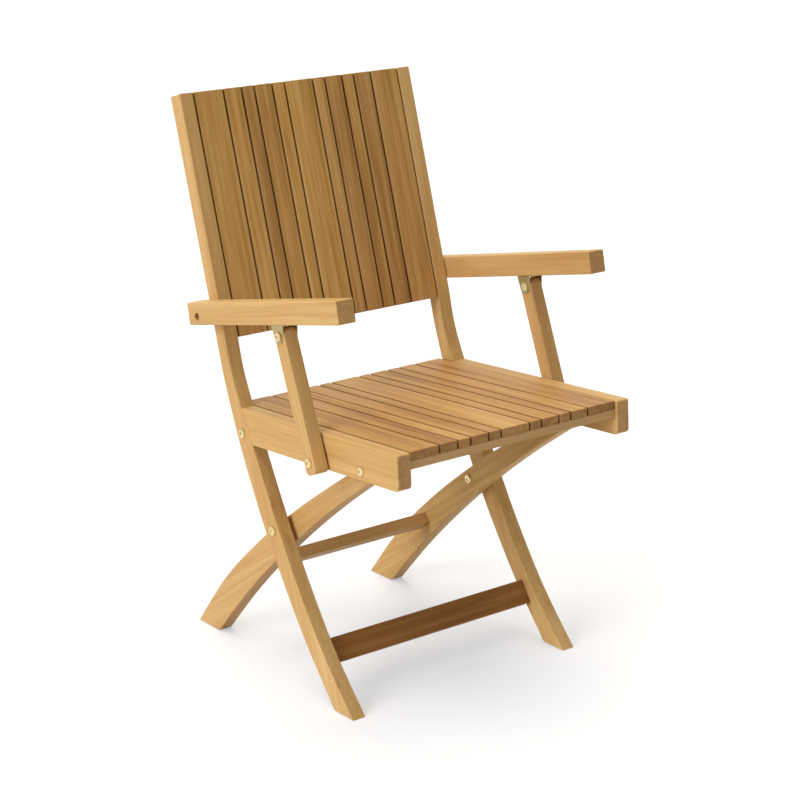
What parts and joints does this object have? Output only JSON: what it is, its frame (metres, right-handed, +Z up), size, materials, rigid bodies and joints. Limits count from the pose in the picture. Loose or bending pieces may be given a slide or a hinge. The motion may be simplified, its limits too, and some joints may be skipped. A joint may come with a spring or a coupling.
{
  "type": "folding armchair",
  "caption": "Folding garden armchair of slatted hardwood: bent uprights, crossed curved rear legs, tilted arms on struts, and brass bolts.",
  "frame": {"origin": "on the floor, under the middle of the open chair's bounding box", "axes": "+Z up, the front faces -Y, +X to the right seen from the front"},
  "size_m": [0.5272, 0.5978, 0.914],
  "materials": {
    "teak_frame": "oiled teak, satin, with fine dark grain along each board",
    "teak_slats": "oiled teak, satin, its tone differing a little from slat to slat",
    "brass": "pale yellow, lightly polished",
    "steel": "plain flat bar"
  },
  "bodies": {
    "frame": {"stile_left": "teak_frame", "stile_right": "teak_frame", "back_rail_top": "teak_frame", "back_rail_bottom": "teak_frame", "back_slat_01": "teak_slats", "back_slat_02": "teak_slats", "back_slat_03": "teak_slats", "back_slat_04": "teak_slats", "back_slat_05": "teak_slats", "back_slat_06": "teak_slats", "back_slat_07": "teak_slats", "back_slat_08": "teak_slats", "back_slat_09": "teak_slats", "back_slat_10": "teak_slats", "back_slat_11": "teak_slats", "front_stretcher": "teak_frame", "fold_bolt_left": "brass", "fold_bolt_right": "brass", "leg_bolt_left": "brass", "leg_bolt_right": "brass", "arm_bolt_left": "brass", "arm_bolt_right": "brass"},
    "seat": {"seat_rail_left": "teak_frame", "seat_rail_right": "teak_frame", "seat_batten_front": "teak_frame", "seat_batten_middle": "teak_frame", "seat_batten_rear": "teak_frame", "seat_slat_01": "teak_slats", "seat_slat_02": "teak_slats", "seat_slat_03": "teak_slats", "seat_slat_04": "teak_slats", "seat_slat_05": "teak_slats", "seat_slat_06": "teak_slats", "seat_slat_07": "teak_slats", "seat_slat_08": "teak_slats", "seat_slat_09": "teak_slats", "seat_slat_10": "teak_slats", "seat_slat_11": "teak_slats", "strut_bolt_left": "brass", "strut_bolt_right": "brass", "seat_bolt_left": "brass", "seat_bolt_right": "brass"},
    "fold_links": {"fold_link_left": "steel", "fold_link_right": "steel"},
    "rear_legs": {"rear_leg_left": "teak_frame", "rear_leg_right": "teak_frame", "rear_stretcher": "teak_frame"},
    "arm_left_body": {"arm_left": "teak_frame", "arm_bracket_left": "brass", "clevis_bolt_left": "brass"},
    "strut_left_body": {"strut_left": "teak_frame"},
    "arm_right_body": {"arm_right": "teak_frame", "arm_bracket_right": "brass", "clevis_bolt_right": "brass"},
    "strut_right_body": {"strut_right": "teak_frame"}
  },
  "joints": [
    {"name": "fold", "type": "hinge", "parent": "frame", "child": "fold_links", "pos_m": [0, 0.10395, 0.39302], "axis": [-1, 0, 0], "range_deg": [0, 84]},
    {"name": "seat_turn", "type": "hinge", "parent": "fold_links", "child": "seat", "pos_m": [0, -0.11504, 0.40802], "axis": [1, 0, 0], "range_deg": [0, 145.32]},
    {"name": "rear_legs_turn", "type": "hinge", "parent": "frame", "child": "rear_legs", "pos_m": [0, 0.02415, 0.25135], "axis": [-1, 0, 0], "range_deg": [0, 59.3]},
    {"name": "arm_left_turn", "type": "hinge", "parent": "frame", "child": "arm_left_body", "pos_m": [-0.247, 0.17595, 0.57491], "axis": [-1, 0, 0], "range_deg": [0, 84]},
    {"name": "strut_left_turn", "type": "hinge", "parent": "arm_left_body", "child": "strut_left_body", "pos_m": [-0.2455, -0.04304, 0.58991], "axis": [1, 0, 0], "range_deg": [0, 84]},
    {"name": "arm_right_turn", "type": "hinge", "parent": "frame", "child": "arm_right_body", "pos_m": [0.247, 0.17595, 0.57491], "axis": [-1, 0, 0], "range_deg": [0, 84]},
    {"name": "strut_right_turn", "type": "hinge", "parent": "arm_right_body", "child": "strut_right_body", "pos_m": [0.2455, -0.04304, 0.58991], "axis": [1, 0, 0], "range_deg": [0, 84]}
  ],
  "couplings": [
    {"joint": "seat_turn", "follows": "fold", "ratio": 1.73},
    {"joint": "rear_legs_turn", "follows": "fold", "ratio": 0.706},
    {"joint": "arm_left_turn", "follows": "fold", "ratio": 1},
    {"joint": "strut_left_turn", "follows": "fold", "ratio": 1},
    {"joint": "arm_right_turn", "follows": "fold", "ratio": 1},
    {"joint": "strut_right_turn", "follows": "fold", "ratio": 1}
  ]
}
